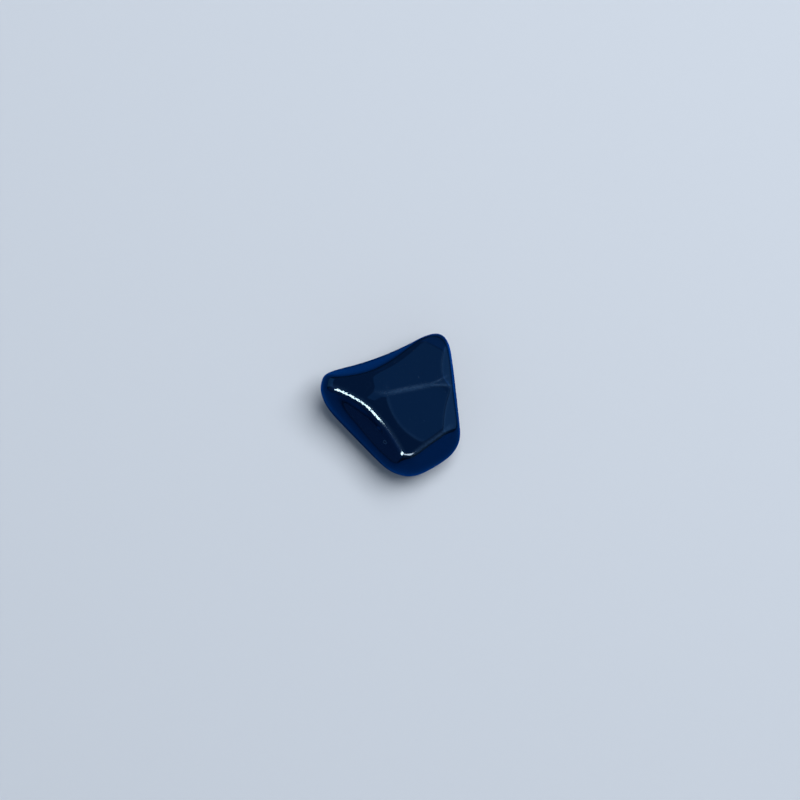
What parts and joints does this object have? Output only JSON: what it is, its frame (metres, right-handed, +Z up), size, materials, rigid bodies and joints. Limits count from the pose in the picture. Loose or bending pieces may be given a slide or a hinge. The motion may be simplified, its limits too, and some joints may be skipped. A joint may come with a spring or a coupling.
{
  "type": "tumbled obsidian",
  "caption": "Glossy black volcanic glass pebble, kite-shaped, with softly worn facets and edges and a small flat spot to rest on.",
  "frame": {"origin": "under the middle of the stone's outline, on the surface it rests on", "axes": "+Z up through the thickness of the stone, +X towards its long right side, +Y towards its upper corner"},
  "size_m": [0.0208, 0.0214, 0.0101],
  "materials": {
    "obsidian": "tumble-polished volcanic glass"
  },
  "bodies": {
    "root": {"tumbled_obsidian": "obsidian"}
  },
  "joints": []
}
